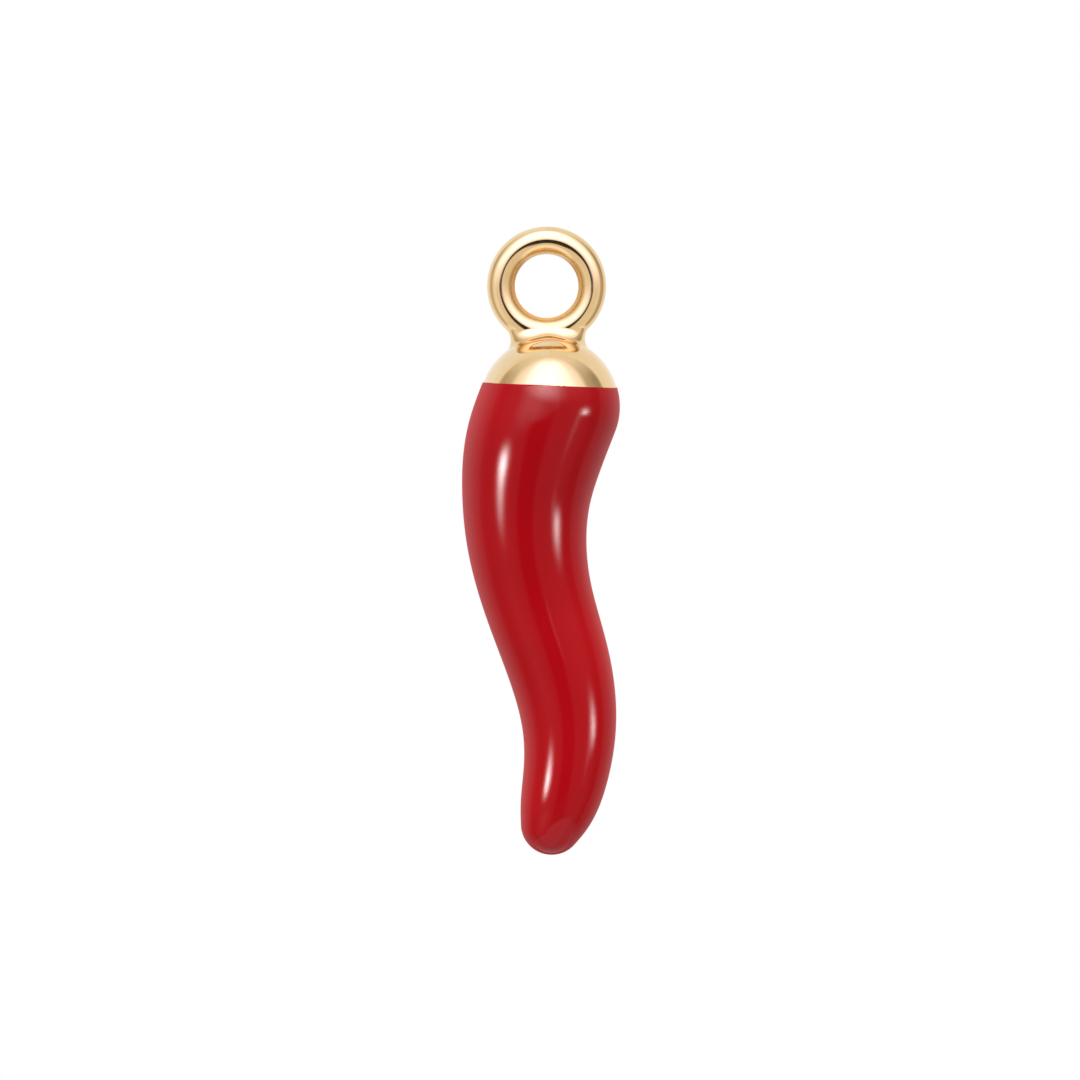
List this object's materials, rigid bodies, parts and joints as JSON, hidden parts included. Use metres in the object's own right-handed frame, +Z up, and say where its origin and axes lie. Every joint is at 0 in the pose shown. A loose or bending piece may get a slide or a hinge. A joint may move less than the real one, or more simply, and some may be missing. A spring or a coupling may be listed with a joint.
{
  "type": "chili pepper charm",
  "caption": "Small hanging charm shaped like a chili pepper: a gold plated cap with a round bail ring over a curved, glossy red enamel pod.",
  "frame": {"origin": "centre of the hole in the bail ring", "axes": "+Z up along the hanging charm, +X to the right of the front view in the plane of the ring and of the pod's sway, +Y along the ring's hole towards the back"},
  "size_m": [0.005, 0.0044, 0.02],
  "materials": {
    "gold_plate": "polished gold plating over brass",
    "red_enamel": "glossy opaque enamel"
  },
  "bodies": {
    "root": {"bail_ring": "gold_plate", "cap_and_core": "gold_plate", "enamel_coat": "red_enamel"}
  },
  "joints": []
}
